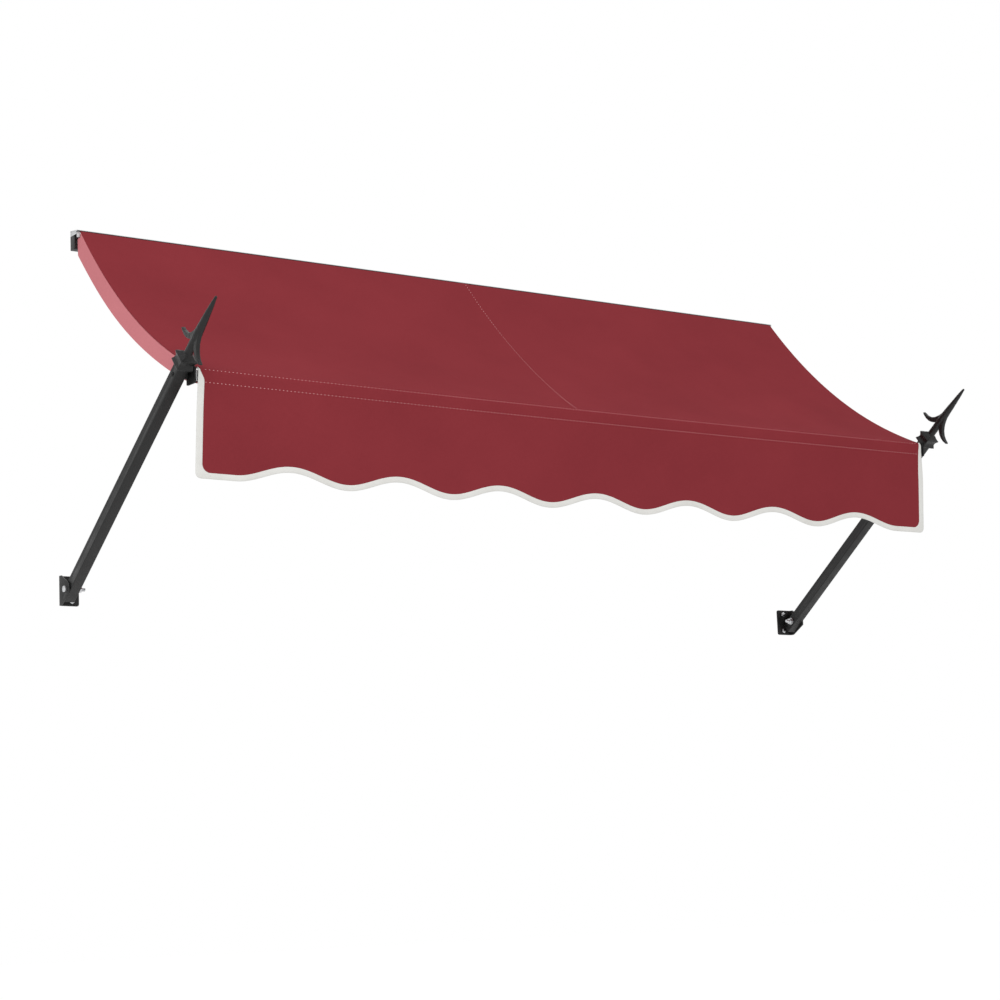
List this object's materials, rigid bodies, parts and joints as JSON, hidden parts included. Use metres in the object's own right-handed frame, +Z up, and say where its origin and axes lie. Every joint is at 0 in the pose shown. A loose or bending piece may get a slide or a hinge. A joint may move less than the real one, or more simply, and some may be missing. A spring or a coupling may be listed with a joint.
{
  "type": "window awning",
  "caption": "Window awning: a sagging cloth canopy and scalloped valance between a wall rail and a front bar carried on hinged square arms with spear finials.",
  "frame": {"origin": "on the head rail's back face, at mid-length and level with its cloth slot", "axes": "+X along the rail to the right as seen from the front, +Y into the wall, +Z up"},
  "size_m": [2.5554, 0.8382, 1.01],
  "materials": {
    "canopy_cloth": "woven acrylic cloth, dyed burgundy",
    "flange_cloth": "the same cloth lit through, pale rose",
    "edge_binding": "folded off-white braid",
    "cord": "round welt cord",
    "black_paint": "satin black powder coat",
    "cast_black": "hammered black paint on a casting",
    "mill_aluminium": "mill finish extrusion",
    "zinc": "bright zinc plate"
  },
  "bodies": {
    "wall_mount": {"canopy_panel_left": "canopy_cloth", "canopy_panel_right": "canopy_cloth", "head_rail": "mill_aluminium", "pivot_bolt_left": "zinc", "pivot_bolt_right": "zinc", "pivot_nut_left": "zinc", "pivot_nut_right": "zinc", "pivot_washer_left": "zinc", "pivot_washer_right": "zinc", "rail_block_center": "black_paint", "rail_block_left": "black_paint", "rail_block_right": "black_paint", "rail_clamp_screw_center": "zinc", "rail_clamp_screw_left": "zinc", "rail_clamp_screw_right": "zinc", "rail_wall_screw_center": "zinc", "rail_wall_screw_left": "zinc", "rail_wall_screw_right": "zinc", "side_flange_left": "flange_cloth", "side_flange_right": "flange_cloth", "wall_bracket_left": "black_paint", "wall_bracket_right": "black_paint", "wall_screw_left_lower": "zinc", "wall_screw_left_upper": "zinc", "wall_screw_right_lower": "zinc", "wall_screw_right_upper": "zinc", "welt_cord": "cord"},
    "arm_frame": {"arm_left": "black_paint", "arm_right": "black_paint", "bar_bolt_left": "black_paint", "bar_bolt_right": "black_paint", "bar_end_fitting_left": "black_paint", "bar_end_fitting_right": "black_paint", "finial_screw_left": "zinc", "finial_screw_right": "zinc", "front_bar": "mill_aluminium", "front_pocket": "canopy_cloth", "spear_finial_left": "cast_black", "spear_finial_right": "cast_black", "valance": "canopy_cloth", "valance_binding": "edge_binding"}
  },
  "joints": [
    {"name": "arm_lift", "type": "hinge", "parent": "wall_mount", "child": "arm_frame", "pos_m": [0, -0.0415, -0.96], "axis": [-1, 0, 0], "range_deg": [0, 40], "deforming": ["canopy_panel_left", "canopy_panel_right", "side_flange_left", "side_flange_right"]}
  ]
}
